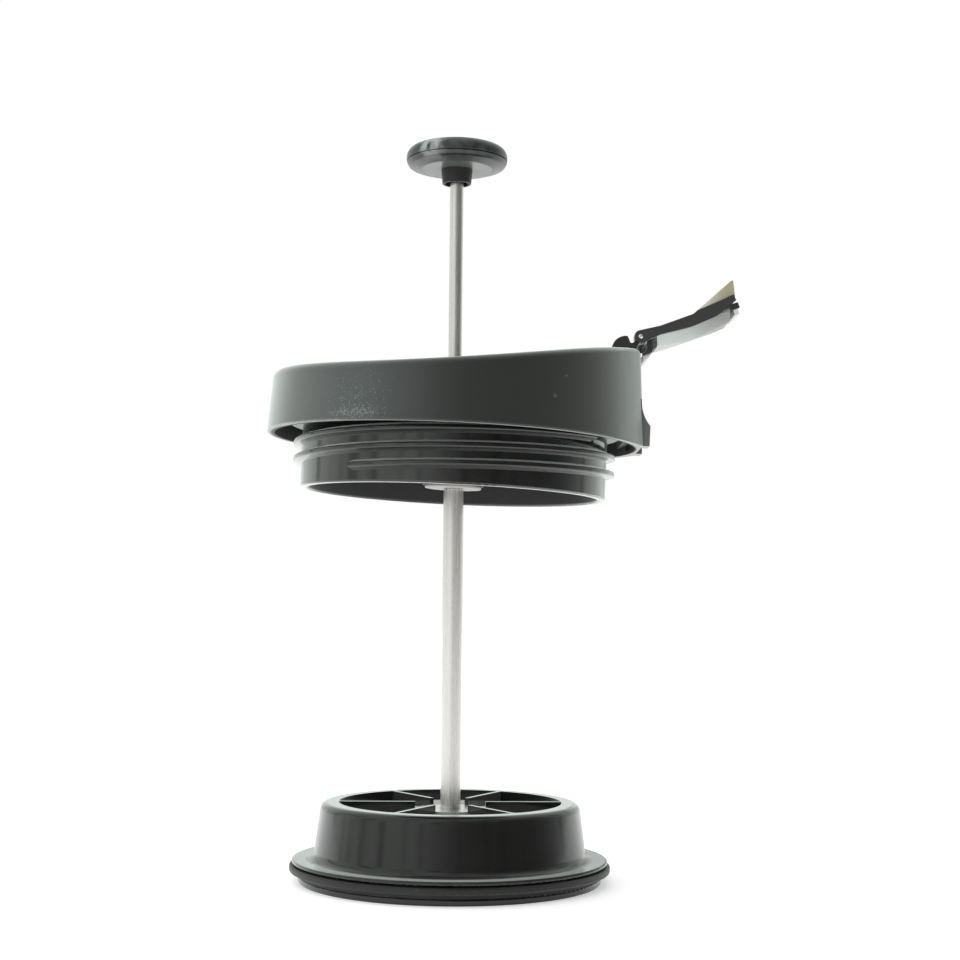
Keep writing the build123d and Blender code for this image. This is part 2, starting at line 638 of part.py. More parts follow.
def make_lid_deck():
    """Sunk deck with the rib that the plug's flange seats on, and the boss with the guide's well."""
    deck = shell_cone(RIM_WIDTH) & below_rim(DECK_DROP)
    deck -= below_rim(DECK_DROP + DECK_THICK)
    rib = tube_between(RIB_R, RIB_R - RIB_WALL, PLUG_FLANGE_TOP + SEAT_GAP, SHELL_TOP_CUT)
    deck += rib & below_rim(DECK_DROP + DECK_THICK / 2)
    deck -= housing_block()
    deck += rod_between(BOSS_R, BUSH_FLANGE_TOP + RUN_GAP, DECK_BOSS_TOP)
    deck -= rod_between(BUSH_R + RUN_GAP, BUSH_BOTTOM, WELL_FLOOR + CUT_PAST)
    deck -= rod_between(WELL_R, WELL_FLOOR, SHELL_TOP_CUT)
    for lug in make_lugs():
        deck -= lug
    return deck - spout_hole()


def make_spout_housing():
    """Walls of the pocket for the closed cover, with the spout's hole, the catch and the hinge lugs."""
    recess = shell_cone(RIM_WIDTH) - below_rim(DECK_DROP)
    housing = (shell_outside() & housing_block()) - recess
    housing -= pocket_space()
    catch = [
        (CATCH_START, POCKET_BACK - SHELL_WALL / 2, 0),
        (CATCH_END, POCKET_BACK - SHELL_WALL / 2, 0),
        (CATCH_END, CATCH_FACE, 0.3),
        (CATCH_START, CATCH_FACE, 0.3),
    ]
    housing += at_hinge(slab(catch, -CATCH_HALF_WIDTH, CATCH_HALF_WIDTH), COVER_CLOSED)
    housing -= spout_hole()
    for lug in make_lugs():
        housing += lug
    pin_hole = extrude(Plane.XZ * Circle(PIN_R + SEAT_GAP), amount=2 * SHELL_R)
    return housing - Pos(PIN_X, SHELL_R, PIN_Z) * pin_hole


def spout_rod(radius, v_low, v_high):
    """A cylinder along V through the spout's hole, in the cover's frame."""
    return Pos(SPOUT_U, 0, 0) * rod_between(radius, v_low, v_high)


def spout_hole():
    """Hole for the grommet through the pocket's wall and the deck behind it, in the lid's frame."""
    hole = spout_rod(SPOUT_R + GROMMET_WALL + SEAT_GAP, POCKET_BACK - 3 * CUT_PAST, 0)
    return at_hinge(hole, COVER_CLOSED)


# Lid plug and seals

def make_thread_ridge():
    """One start of the thread: a ridge along a helix."""
    root_r = PLUG_R - THREAD_SUNK
    path = Helix(pitch=THREAD_LEAD, height=THREAD_HEIGHT, radius=root_r)
    depth = THREAD_R - root_r
    section = FilletPolyline((0, -THREAD_ROOT_WIDTH / 2), (depth, -THREAD_CREST_WIDTH / 2),
                             (depth, THREAD_CREST_WIDTH / 2), (0, THREAD_ROOT_WIDTH / 2),
                             radius=[0, THREAD_CREST_ROUND, THREAD_CREST_ROUND, 0], close=True)
    start = Plane(origin=path @ 0, x_dir=(1, 0, 0), z_dir=path % 0)
    return sweep(start * make_face(section), path=path, is_frenet=True)


def make_lid_plug():
    """Threaded tube with a flange that seats on the shell's rib."""
    inner = PLUG_R - PLUG_WALL
    plug = turned([
        (inner, PLUG_BOTTOM, PLUG_ROUND),
        (PLUG_R, PLUG_BOTTOM, PLUG_ROUND),
        (PLUG_R, PLUG_FLANGE_BOTTOM, 0),
        (PLUG_FLANGE_R, PLUG_FLANGE_BOTTOM, 0.3),
        (PLUG_FLANGE_R, PLUG_FLANGE_TOP, 0.3),
        (inner, PLUG_FLANGE_TOP, 0.3),
    ])
    ridge = make_thread_ridge()
    front_turn = FRONT - THREAD_FRONT_RISE / THREAD_LEAD * 360
    for index in range(THREAD_STARTS):
        turn = front_turn + index * 360 / THREAD_STARTS
        plug += Rot(0, 0, turn) * Pos(0, 0, THREAD_LOW) * ridge
    groove_low = PLUG_FLANGE_TOP - PLUG_SEAL_DEPTH
    plug -= tube_between(PLUG_SEAL_R + PLUG_SEAL_WIDTH / 2, PLUG_SEAL_R - PLUG_SEAL_WIDTH / 2,
                         groove_low, PLUG_FLANGE_TOP + CUT_PAST)
    return plug - pocket_room()


def make_plug_seal():
    """Flat seal in the flange's groove, against the shell's rib."""
    half = PLUG_SEAL_WIDTH / 2 - SEAT_GAP
    low = PLUG_FLANGE_TOP - PLUG_SEAL_DEPTH + SEAT_GAP
    return tube_between(PLUG_SEAL_R + half, PLUG_SEAL_R - half, low, PLUG_FLANGE_TOP)


def make_lid_gasket():
    """Soft ring under the plug's flange, which seals on the jug's rim."""
    high = PLUG_FLANGE_BOTTOM - SEAT_GAP
    low = high - LID_GASKET_THICK
    gasket = turned([
        (PLUG_R + SEAT_GAP, low, 0.3),
        (LID_GASKET_R, low, 0.6),
        (LID_GASKET_R, high, 0.2),
        (PLUG_R + SEAT_GAP, high, 0),
    ])
    return gasket - pocket_room()


def make_spout_grommet():
    """Soft ring in the spout's hole, with its flange in the pocket."""
    length_in_wall = SHELL_WALL + SEAT_GAP
    flange_low = POCKET_BACK + SEAT_GAP
    grommet = spout_rod(SPOUT_R + GROMMET_WALL, POCKET_BACK - length_in_wall, flange_low)
    grommet += spout_rod(GROMMET_FLANGE_R, flange_low, flange_low + GROMMET_FLANGE_THICK)
    grommet -= spout_rod(SPOUT_R, POCKET_BACK - 2 * CUT_PAST, CUT_PAST)
    return at_hinge(grommet, COVER_CLOSED)


def make_hinge_pin():
    """Pin with rounded ends through the lugs and the cover's eyes."""
    pin = extrude(Plane.XZ * Circle(PIN_R), amount=2 * PIN_HALF)
    pin = fillet(pin.edges().filter_by(GeomType.CIRCLE), PIN_END_ROUND)
    return Pos(PIN_X, PIN_HALF, PIN_Z) * pin


# Spout cover

def make_spout_cover():
    """Plate between two bent side rails, with a thumb lift, a hook under its end and a heel at the hinge."""
    rail = [
        (0, -EYE_R, 0),
        (0.19 * COVER_LENGTH, -RAIL_HALF - 0.2, 3.0),
        (0.5 * COVER_LENGTH, -RAIL_HALF - 1.1, RAIL_BEND),
        (0.78 * COVER_LENGTH, -RAIL_HALF - 0.5, 8.0),
        (0.93 * COVER_LENGTH, 0.3, 2.0),
        (COVER_LENGTH, 0.9, 0.2),
        (COVER_LENGTH - 0.4, 3.0, 0.3),
        (0.87 * COVER_LENGTH, 2.2, 6.0),
        (0.555 * COVER_LENGTH, 1.2, RAIL_BEND),
        (0.215 * COVER_LENGTH, RAIL_HALF, 3.0),
        (0, EYE_R, 0),
    ]
    plate = [
        (PLATE_START, PLATE_UNDERSIDE, 0),
        (0.91 * COVER_LENGTH, PLATE_UNDERSIDE, 0),
        (COVER_LENGTH - 0.5, 0.8, 0),
        (COVER_LENGTH - 0.6, 2.4, 0),
        (0.555 * COVER_LENGTH, PLATE_TOP, 0),
        (PLATE_START, PLATE_TOP, 0.4),
    ]
    lift = [
        (LIFT_START, PLATE_UNDERSIDE + 1.0, 0),
        (LIFT_END, LIFT_HEIGHT, 0.4),
        (LIFT_END - 1.2, 2.0, 0),
        (COVER_LENGTH - 0.6, PLATE_TOP, 0),
    ]
    heel = [
        (5.5, 0.3, 0),
        (4.5, PLATE_UNDERSIDE, 0.3),
        (3.5, -1.6, 0.8),
        (3.2, -3.6, 2.0),
        (2.2, -5.0, 1.2),
        (0.9, -6.0, 0.8),
        (-0.5, -6.3, 0.4),
        (-0.6, -4.7, 0.4),
        (0.6, -4.2, 1.0),
        (1.5, -3.2, 1.0),
        (1.75, -1.9, 0.8),
        (2.6, -0.4, 0.8),
        (4.2, 0.7, 0),
        (5.5, 0.7, 0),
    ]
    hook = [
        (HOOK_START, HOOK_BOTTOM, 0.4),
        (HOOK_END, HOOK_BOTTOM, 0.4),
        (HOOK_END, TAB_BOTTOM, 0),
        (TAB_END, TAB_BOTTOM, 0.3),
        (TAB_END, PLATE_TOP, 0.4),
        (HOOK_START, PLATE_TOP, 0),
    ]
    rail_inside = COVER_HALF_WIDTH - RAIL_WALL
    cover = slab(plate, -rail_inside - RAIL_WALL / 2, rail_inside + RAIL_WALL / 2)
    for low in (rail_inside, -COVER_HALF_WIDTH):
        cover += slab(rail, low, low + RAIL_WALL)
        cover += Pos(0, low + RAIL_WALL, 0) * extrude(Plane.XZ * Circle(EYE_R), amount=RAIL_WALL)
    cover += slab(lift, -LIFT_HALF_WIDTH, LIFT_HALF_WIDTH)
    cover += slab(heel, -HEEL_HALF_WIDTH, HEEL_HALF_WIDTH)
    cover += slab(hook, -HOOK_HALF_WIDTH, HOOK_HALF_WIDTH)
    pin_hole = Pos(0, SHELL_R, 0) * extrude(Plane.XZ * Circle(PIN_R + RUN_GAP), amount=2 * SHELL_R)
    return at_hinge(cover - pin_hole, COVER_OPEN)


def make_cover_pad():
    """Soft pad on the cover's underside, crowned across the cover and along it."""
    top = PLATE_UNDERSIDE - SEAT_GAP
    pad_middle = (PAD_START + PAD_END) / 2
    along = [
        Line((PAD_START, top), (PAD_START, PAD_END_DEPTH)),
        ThreePointArc((PAD_START, PAD_END_DEPTH), (pad_middle, PAD_CROWN), (PAD_END, PAD_END_DEPTH)),
        Line((PAD_END, PAD_END_DEPTH), (PAD_END, top)),
        Line((PAD_END, top), (PAD_START, top)),
    ]
    side_view = extrude(Plane.XZ * make_face(along), amount=PAD_HALF_WIDTH, both=True)
    across = [
        Line((-PAD_HALF_WIDTH, top), (-PAD_HALF_WIDTH, PAD_EDGE)),
        ThreePointArc((-PAD_HALF_WIDTH, PAD_EDGE), (0, PAD_CROWN), (PAD_HALF_WIDTH, PAD_EDGE)),
        Line((PAD_HALF_WIDTH, PAD_EDGE), (PAD_HALF_WIDTH, top)),
        Line((PAD_HALF_WIDTH, top), (-PAD_HALF_WIDTH, top)),
    ]
    end_view = extrude(Plane.YZ * make_face(across), amount=PAD_END + CUT_PAST)
    return at_hinge(side_view & end_view, COVER_OPEN)


# Write one file for each piece
pieces = {
    "filter_frame": make_filter_frame(),
    "filter_gasket": make_filter_gasket(),
    "filter_mesh": make_filter_mesh(),
    "filter_retainer": make_filter_retainer(),
    "retainer_nut": make_retainer_nut(),
    "hub_washer": make_hub_washer(),
    "hub_nut": make_hub_nut(),
    "plunger_rod": make_plunger_rod(),
    "rod_sleeve": make_rod_sleeve(),
    "knob_base": make_knob_base(),
    "knob_cap": make_knob_cap(),
    "knob_insert": make_knob_insert(),
    "knob_collar": make_knob_collar(),
    "rod_seal": make_rod_seal(),
    "rod_bush": in_lid(make_rod_bush()),
    "bush_clip": in_lid(make_bush_clip()),
    "lid_shell": in_lid(make_lid_shell()),
    "lid_deck": in_lid(make_lid_deck()),
    "spout_housing": in_lid(make_spout_housing()),
    "lid_plug": in_lid(make_lid_plug()),
    "plug_seal": in_lid(make_plug_seal()),
    "lid_gasket": in_lid(make_lid_gasket()),
    "spout_grommet": in_lid(make_spout_grommet()),
    "hinge_pin": in_lid(make_hinge_pin()),
    "spout_cover": in_lid(make_spout_cover()),
    "cover_pad": in_lid(make_cover_pad()),
}

os.makedirs("parts", exist_ok=True)
for name, piece in pieces.items():
    export_step(piece, "parts/" + name + ".step")
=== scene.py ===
# %% [markdown]
# The lid and plunger of a french press stand on a white table. The shapes come from the CAD model, which
# loads here as a fixed frame. They could be modelled again in Blender, but then the two would drift
# apart. So this script only adds the finishes, the woven filter mesh, the camera, the table and the light.

# %% Load the frame
import math

import bpy
import numpy as np
from mathutils import Matrix, Vector


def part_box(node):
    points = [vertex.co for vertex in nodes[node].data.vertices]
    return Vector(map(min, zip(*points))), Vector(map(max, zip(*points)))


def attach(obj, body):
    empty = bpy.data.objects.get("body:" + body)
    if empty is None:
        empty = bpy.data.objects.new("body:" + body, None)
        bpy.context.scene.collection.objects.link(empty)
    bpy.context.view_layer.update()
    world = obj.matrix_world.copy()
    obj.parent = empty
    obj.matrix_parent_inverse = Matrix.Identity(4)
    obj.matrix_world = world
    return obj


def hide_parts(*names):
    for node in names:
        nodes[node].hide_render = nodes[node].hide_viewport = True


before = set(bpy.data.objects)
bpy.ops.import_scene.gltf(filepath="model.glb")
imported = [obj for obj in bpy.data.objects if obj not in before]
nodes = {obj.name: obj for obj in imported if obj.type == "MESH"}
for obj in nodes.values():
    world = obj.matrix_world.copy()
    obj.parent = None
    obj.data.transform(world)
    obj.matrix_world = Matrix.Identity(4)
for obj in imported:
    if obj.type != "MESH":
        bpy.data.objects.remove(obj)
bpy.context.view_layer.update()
MM = 0.001

# %% [markdown]
# A finish is a small graph of shader nodes. Each node could be made and linked by hand, but that is slow
# to read in code. So a socket is wrapped in a class that knows arithmetic: writing `1 - mask` adds a Math
# node and links it.

# %% Shader arithmetic


class Wire:
    """An output socket of a node graph. Arithmetic on it adds Math nodes to that graph."""

    def __init__(self, graph, socket):
        self.graph = graph
        self.socket = socket

    def math(self, operation, first, second):
        return self.graph.add("ShaderNodeMath", {"operation": operation}, {0: first, 1: second})

    def __add__(self, other):
        return self.math("ADD", self, other)

    def __sub__(self, other):
        return self.math("SUBTRACT", self, other)

    def __mul__(self, other):
        return self.math("MULTIPLY", self, other)

    def __radd__(self, other):
        return self.math("ADD", other, self)

    def __rsub__(self, other):
        return self.math("SUBTRACT", other, self)

    def __rmul__(self, other):
        return self.math("MULTIPLY", other, self)


# %% [markdown]
# One method makes any node and links what feeds it. The others give short names to the patterns that the
# finishes and the world share: soft steps, noise, measures of a place, kinds of ray and mixed colours.

# %% Node graphs


class Graph:
    """A node tree, with the one method that makes every node in it."""

    def __init__(self, tree):
        self.tree = tree

    def add(self, kind, settings, inputs, output=0):
        """Make a node, apply its settings, then set or link each input by name or number."""
        node = self.tree.nodes.new(kind)
        for key, value in settings.items():
            setattr(node, key, value)
        for key, value in inputs.items():
            self.feed(node.inputs[key], value)
        return Wire(self, node.outputs[output]) if node.outputs else node

    def feed(self, socket, value):
        """Link a wire to a socket, or set the socket to a plain value."""
        if isinstance(value, Wire):
            self.tree.links.new(value.socket, socket)
        else:
            socket.default_value = value

    def ramp(self, value, low, high):
        """A soft step from 0 at low to 1 at high."""
        settings = {"interpolation_type": "SMOOTHSTEP"}
        return self.add("ShaderNodeMapRange", settings, {"Value": value, "From Min": low, "From Max": high})

    def noise(self, place, size, detail=2.0):
        """Noise whose blobs are about as wide as size."""
        inputs = {"Vector": place, "Scale": 1 / size, "Detail": detail}
        return self.add("ShaderNodeTexNoise", {}, inputs, "Fac")

    def stretched(self, place, scale):
        """The same place with each axis scaled, so that a pattern is drawn out along one of them."""
        return self.add("ShaderNodeMapping", {}, {"Vector": place, "Scale": scale})

    def measure(self, operation, *vectors):
        """A number from one or two vectors, such as their distance."""
        return self.add("ShaderNodeVectorMath", {"operation": operation}, dict(enumerate(vectors)), "Value")

    def dot(self, value, way):
        """How far a point or direction reaches along a way."""
        return self.measure("DOT_PRODUCT", value, tuple(way))

    def ray_is(self, kind):
        """1 for rays of one kind, such as camera rays, and 0 for the others."""
        return self.add("ShaderNodeLightPath", {}, {}, f"Is {kind} Ray")

    def mix(self, mask, first, second):
        """One colour where the mask is 0 and another where it is 1."""
        return self.add("ShaderNodeMix", {"data_type": "RGBA"}, {0: mask, 6: first, 7: second}, 2)


# %% [markdown]
# Every finish starts from one Principled shader, which covers plastic, silicone and metal alike. A
# constant is typed into the shader's own socket. What varies over a surface is linked: noise gives grain
# or stain, and a mask marks a worn zone by its place on the object. No picture has to be wrapped round
# the shapes this way.

# %% Finishes


class Finish(Graph):
    """A material. Constants name sockets of its Principled shader, with _ for a space."""

    def __init__(self, name, **constants):
        self.material = bpy.data.materials.new(name)
        self.material.use_nodes = True
        super().__init__(self.material.node_tree)
        self.shader = self.tree.nodes["Principled BSDF"]
        for socket_name, value in constants.items():
            self.set(socket_name.replace("_", " "), value)

    def set(self, socket_name, value):
        """Set or link one socket of the shader."""
        self.feed(self.shader.inputs[socket_name], value)

    def place(self):
        """Where a point is on the object, in metres."""
        return self.add("ShaderNodeTexCoord", {}, {}, "Object")

    def from_axis(self, place):
        """How far a point is from the rod's axis, in metres."""
        return self.measure("LENGTH", self.stretched(place, (1.0, 1.0, 0.0)))

    def from_point(self, place, point):
        """The step from a fixed point to a place, in metres."""
        settings = {"operation": "SUBTRACT"}
        return self.add("ShaderNodeVectorMath", settings, {0: place, 1: tuple(point)})

    def near(self, place, centre, radius):
        """1 at a centre, falling to 0 at a radius, both in metres."""
        return self.ramp(self.measure("DISTANCE", place, centre), radius, 0.0)

    def roughness(self, pattern, smoothest, spread):
        """Let the roughness follow a pattern from 0 to 1."""
        self.set("Roughness", smoothest + pattern * spread)

    def bump(self, height, depth):
        """Tilt the shading by a height from 0 to 1 that stands for a depth in metres."""
        inputs = {"Height": height, "Distance": depth, "Strength": 1.0}
        self.set("Normal", self.add("ShaderNodeBump", {}, inputs))

    def plain_where(self, mask, colour, roughness):
        """Show a plain surface without sheen where the mask is 1."""
        plain = self.add("ShaderNodeBsdfPrincipled", {}, {"Base Color": colour, "Roughness": roughness})
        dusty = Wire(self, self.shader.outputs[0])
        mixed = self.add("ShaderNodeMixShader", {}, {0: mask, 1: dusty, 2: plain})
        self.feed(self.tree.nodes["Material Output"].inputs["Surface"], mixed)


def grey(level, warm=0.0):
    """A neutral colour, made a little warmer or cooler."""
    return (level * (1 + warm), level, level * (1 - warm), 1.0)


def in_mm(x, y, z):
    """A point in metres, given in millimetres."""
    return (x * MM, y * MM, z * MM)


def paint(finish, *names):
    """Put a finish on CAD nodes."""
    for name in names:
        nodes[name].data.materials.clear()
        nodes[name].data.materials.append(finish.material)
    print(finish.material.name, "on", ", ".join(names))


# %% [markdown]
# The shell is moulded in black plastic from a spark-eroded tool, which leaves an even grain. The grain is
# too fine to model, so it is a bump. A sheen, as a film of dust would give, lightens the shell where it
# turns away from the eye. The front is scuffed on the left, and the nose is painted greyer than the rest,
# as a painted sheen.

# %% Matte shell plastic
TO_SPOUT = (1, 0, 0)
PLASTIC_IOR = 1.5
DUST_TINT = (0.92, 1.0, 0.94, 1.0)
MATTE_GRAIN = 0.5 * MM
MATTE_DEPTH = 0.012 * MM
CLEAN_BLACK = (0.013, 0.014, 0.013, 1.0)
SCUFFED_BLACK = (0.046, 0.053, 0.051, 1.0)
SCUFF_CENTRE = in_mm(-30, -47, 139)
SCUFF_R = 36 * MM
SHELL_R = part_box("lid_shell")[1].y
NOSE_PAINTED_SHEEN_GREY = (0.10, 0.115, 0.105, 1.0)
NOSE_START = SHELL_R - 2.5 * MM
NOSE_FADE = 3 * MM
shell_finish = Finish("matte_shell", IOR=PLASTIC_IOR, Sheen_Weight=1.0, Sheen_Roughness=0.42,
                      Sheen_Tint=DUST_TINT)
place = shell_finish.place()
grain = shell_finish.noise(place, MATTE_GRAIN, detail=3.0)
cloud = shell_finish.noise(place, size=22 * MM)
shell_finish.roughness(cloud, smoothest=0.28, spread=0.10)
shell_finish.bump(grain, MATTE_DEPTH)
scuffed = shell_finish.near(place, SCUFF_CENTRE, SCUFF_R)
# painted sheen: the nose is painted greyer than the rest of the shell
nose_sheen = shell_finish.ramp(shell_finish.dot(place, TO_SPOUT), NOSE_START, NOSE_START + NOSE_FADE)
unworn = shell_finish.mix(nose_sheen, shell_finish.mix(scuffed, CLEAN_BLACK, SCUFFED_BLACK), NOSE_PAINTED_SHEEN_GREY)
print("shell radius in mm", round(SHELL_R / MM, 1))

# %% [markdown]
# Use has left pale specks on the front of the shell, most of all along its bottom rim, and a few small
# nicks. They could be painted by hand, but a zone in code is easier to move. One fine noise makes them
# all. Each worn zone lifts it, so that more of it passes a soft step, and each nick lets it through
# within a small ball. The zone at the rim counts heights several times over, which squeezes it to a low
# band.

# %% Specks and nicks on the shell
SPECK_GREY = (0.26, 0.31, 0.30, 1.0)
SPECK_SIZE = 0.45 * MM
SPECK_STEP = (0.64, 0.86)
SPECK_COVER = 0.5
WORN_FRONT_CENTRE = in_mm(-26, -49, 139)
WORN_FRONT_R = 17 * MM
WORN_FRONT_LIFT = 0.10
RIM_SQUEEZE = 5.0
WORN_RIM_CENTRE = in_mm(-27, -48.6, 134.2 * RIM_SQUEEZE)
WORN_RIM_R = 15 * MM
WORN_RIM_LIFT = 0.16
WORN_EDGE = 0.04
speck = shell_finish.noise(place, SPECK_SIZE)
worn_front = shell_finish.near(place, WORN_FRONT_CENTRE, WORN_FRONT_R)
squeezed = shell_finish.stretched(place, (1.0, 1.0, RIM_SQUEEZE))
worn_rim = shell_finish.near(squeezed, WORN_RIM_CENTRE, WORN_RIM_R)
worn = worn_front * WORN_FRONT_LIFT + worn_rim * WORN_RIM_LIFT
wear = shell_finish.ramp(speck + worn, *SPECK_STEP) * shell_finish.ramp(worn, 0.0, WORN_EDGE)
# Each nick is x, y, z and a radius in millimetres
NICKS = [
    (27.8, -47.5, 139.5, 1.5),
    (31.0, -45.5, 145.2, 0.8),
    (38.7, -39.2, 141.2, 0.8),
    (33.0, -44.3, 137.9, 0.6),
]
NICK_STEP = (0.15, 0.45)
for x, y, z, radius in NICKS:
    nick = shell_finish.near(place, in_mm(x, y, z), radius * MM)
    wear = wear + shell_finish.ramp(nick * speck, *NICK_STEP)
shell_finish.set("Base Color", shell_finish.mix(wear * SPECK_COVER, unworn, SPECK_GREY))
print("nicks", len(NICKS))

# %% [markdown]
# The inside of the skirt lies in shade, so it is painted a plain, deeper black without sheen, as painted
# shade. It is the same moulding as the outside. A second material could be put on those faces, but a mask
# by radius and height needs no choosing of faces.

# %% Painted shade inside the shell
UP = (0, 0, 1)
SKIRT_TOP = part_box("lid_shell")[0].z + 9 * MM
SKIRT_FADE = 1 * MM
WALL_START = SHELL_R - 1.2 * MM
WALL_END = SHELL_R - 1.6 * MM
shaded_inner_side = shell_finish.ramp(shell_finish.from_axis(place), WALL_START, WALL_END)
skirt = shell_finish.ramp(shell_finish.dot(place, UP), SKIRT_TOP, SKIRT_TOP - SKIRT_FADE)
# painted shade: inside the skirt the shell is painted a deeper black without sheen
shell_finish.plain_where(shaded_inner_side * skirt, colour=grey(0.008), roughness=0.5)
paint(shell_finish, "lid_shell", "lid_deck", "spout_housing")

# %% [markdown]
# The spout cover is black too. Its thumb lift is pale, and painted shade turns it browner towards its outer
# end. The ends of its heel and hook are painted almost white, as painted highlights. The zones are measured
# along the cover and above it, from the hinge pin, because the cover stands at an angle to the axes.

# %% Spout cover plastic
PIN = (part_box("hinge_pin")[0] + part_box("hinge_pin")[1]) / 2
COVER_TURN = math.radians(19.7)
ALONG_COVER = (math.cos(COVER_TURN), 0.0, math.sin(COVER_TURN))
ABOVE_COVER = (-math.sin(COVER_TURN), 0.0, math.cos(COVER_TURN))
LIFT_SLOPE = 0.065
LIFT_ABOVE = (0.6 * MM, 1.1 * MM)
LIFT_ALONG = (12 * MM, 15 * MM)
HEEL_ABOVE = (-4.6 * MM, -5.6 * MM)
HOOK_ABOVE = (-0.7 * MM, -1.0 * MM)
HOOK_ALONG = (28.6 * MM, 28.9 * MM)
COVER_BLACK = grey(0.030)
PAINTED_HIGHLIGHT_WHITE = grey(0.75)
LIFT_PALE = (0.80, 0.79, 0.74, 1.0)
LIFT_SHADE_BROWN = (0.34, 0.31, 0.20, 1.0)
LIFT_SHADE_ALONG = (16 * MM, 31 * MM)
LIFT_SHADE_WAVER = 3 * MM
cover_finish = Finish("cover_plastic", IOR=PLASTIC_IOR)
place = cover_finish.place()
from_pin = cover_finish.from_point(place, PIN)
along = cover_finish.dot(from_pin, ALONG_COVER)
above = cover_finish.dot(from_pin, ABOVE_COVER)
cloud = cover_finish.noise(place, size=6 * MM, detail=3.0)
grain = cover_finish.noise(place, MATTE_GRAIN, detail=3.0)
lift = cover_finish.ramp(above - LIFT_SLOPE * along, *LIFT_ABOVE) * cover_finish.ramp(along, *LIFT_ALONG)
# painted highlights: the ends of the heel and hook are painted almost white
heel_highlight = cover_finish.ramp(above, *HEEL_ABOVE)
hook_highlight = cover_finish.ramp(along, *HOOK_ALONG) * cover_finish.ramp(above, *HOOK_ABOVE)
# painted shade: the pale lift turns browner towards its outer end
lift_shade = cover_finish.ramp(along + cloud * LIFT_SHADE_WAVER, *LIFT_SHADE_ALONG)
with_painted_light = cover_finish.mix(lift_shade, LIFT_PALE, LIFT_SHADE_BROWN)
colour = cover_finish.mix(lift, COVER_BLACK, with_painted_light)
cover_finish.set("Base Color", cover_finish.mix(heel_highlight + hook_highlight, colour, PAINTED_HIGHLIGHT_WHITE))
cover_finish.roughness(cloud, smoothest=0.26, spread=0.12)
cover_finish.bump(grain, MATTE_DEPTH)
paint(cover_finish, "spout_cover")

# %% [markdown]
# The plug and the filter come from a polished tool. The plug has a clear gloss skin over the black, so it
# mirrors the room twice, and it is matt inside. The filter has no such skin. A single low roughness would
# make both look like lacquer, so the roughness is uneven and the surface has a faint ripple.

# %% Gloss plastic
GLOSS_DARK = grey(0.006, warm=0.03)
GLOSS_HAZY = grey(0.012, warm=0.03)
GLOSS_SMOOTHEST = 0.06
GLOSS_SPREAD = 0.10
MATT_BLACK = grey(0.034)
MATT_EDGE = 0.2 * MM
MATT_ROUGHER = 0.35
PLUG_INSIDE_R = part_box("lid_plug")[1].y - 6.8 * MM


def gloss_plastic(name, coat, sheen, matt_within=0.0):
    """Black gloss plastic with a clear skin and a sheen, each from 0 to 1, and matt near the axis."""
    finish = Finish(name, IOR=PLASTIC_IOR, Coat_Weight=coat, Coat_Roughness=0.05, Sheen_Weight=sheen,
                    Sheen_Roughness=0.3, Sheen_Tint=DUST_TINT)
    place = finish.place()
    haze = finish.noise(place, size=14 * MM)
    ripple = finish.noise(place, size=5 * MM)
    matt = finish.ramp(finish.from_axis(place), matt_within + MATT_EDGE, matt_within)
    finish.set("Base Color", finish.mix(matt, finish.mix(haze, GLOSS_DARK, GLOSS_HAZY), MATT_BLACK))
    finish.set("Roughness", GLOSS_SMOOTHEST + haze * GLOSS_SPREAD + matt * MATT_ROUGHER)
    finish.bump(ripple, depth=0.01 * MM)
    return finish


paint(gloss_plastic("gloss_black", coat=0.6, sheen=0.8, matt_within=PLUG_INSIDE_R), "lid_plug")
paint(gloss_plastic("filter_gloss", coat=0.0, sheen=1.0), "filter_frame", "filter_retainer")
print("plug is matt within", round(PLUG_INSIDE_R / MM, 1), "mm of the axis")

# %% [markdown]
# The knob is black plastic too, but hands have worn it to an uneven grey satin. One blotchy noise drives
# the colour and the roughness together, because wear changes both at once. A pale patch on the left of its
# top edge is partly wear and partly a painted highlight, and its flat underside is painted grey as painted
# light from the table below.

# %% Worn knob plastic
knob_low, knob_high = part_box("knob_cap")
KNOB_BLACK = (0.012, 0.014, 0.013, 1.0)
KNOB_SATIN = (0.045, 0.052, 0.048, 1.0)
SATIN_STEP = (0.35, 0.75)
PATCH_WEAR_AND_HIGHLIGHT_GREY = (0.34, 0.38, 0.37, 1.0)
PATCH_STEP = (0.40, 0.62)
PATCH_CENTRE = (-7.5 * MM, knob_low.y + 2.5 * MM, knob_high.z - 2.0 * MM)
PATCH_R = 7.0 * MM
UNDERSIDE_PAINTED_LIGHT_GREY = (0.17, 0.19, 0.175, 1.0)
UNDERSIDE_DEPTH = 0.3 * MM
UNDERSIDE_EDGE = (10.8 * MM, 10.3 * MM)
knob_finish = Finish("worn_knob", IOR=PLASTIC_IOR, Coat_Weight=0.3, Coat_Roughness=0.18)
place = knob_finish.place()
blotch = knob_finish.noise(place, size=3.5 * MM, detail=4.0)
grip = knob_finish.noise(place, size=0.6 * MM, detail=3.0)
# partly a painted highlight: a pale patch on the left of the knob's top edge, partly wear
wear_and_highlight_patch = knob_finish.near(place, PATCH_CENTRE, PATCH_R) * knob_finish.ramp(blotch, *PATCH_STEP)
